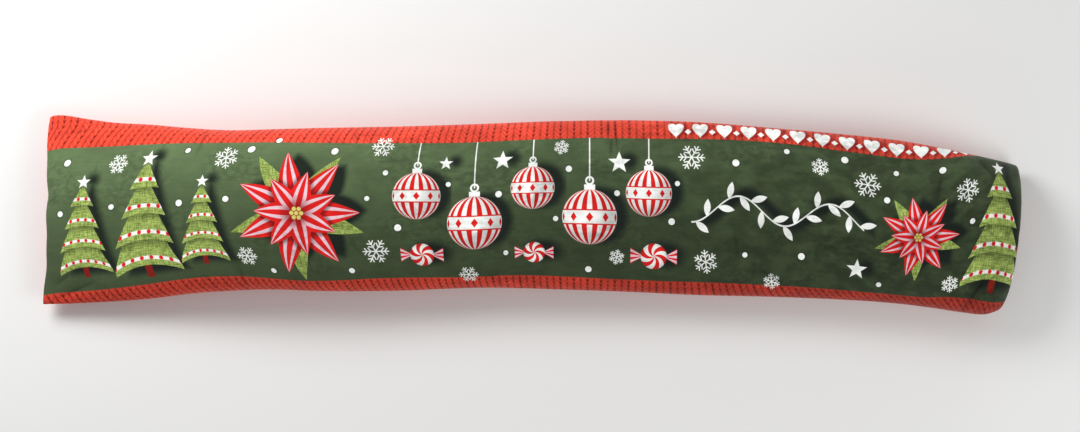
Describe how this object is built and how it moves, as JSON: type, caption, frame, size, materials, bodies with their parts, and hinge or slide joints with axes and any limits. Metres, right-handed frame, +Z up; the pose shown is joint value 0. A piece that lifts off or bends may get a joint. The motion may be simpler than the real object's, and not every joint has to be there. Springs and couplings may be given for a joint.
{
  "type": "draught excluder",
  "caption": "Long filled cloth tube with a printed face and a flat seam across each end, laid along the foot of a door to stop draughts.",
  "frame": {"origin": "on the surface it lies on, under the middle of its bounding box", "axes": "+X along the tube towards its tucked-under end, +Y towards the far edge of the printed face, +Z up out of the printed face"},
  "size_m": [0.9017, 0.1834, 0.0588],
  "materials": {
    "printed_cloth": "soft short-pile cloth, printed green with knit-look red bands"
  },
  "bodies": {
    "root": {"filled_tube": "printed_cloth"}
  },
  "joints": []
}
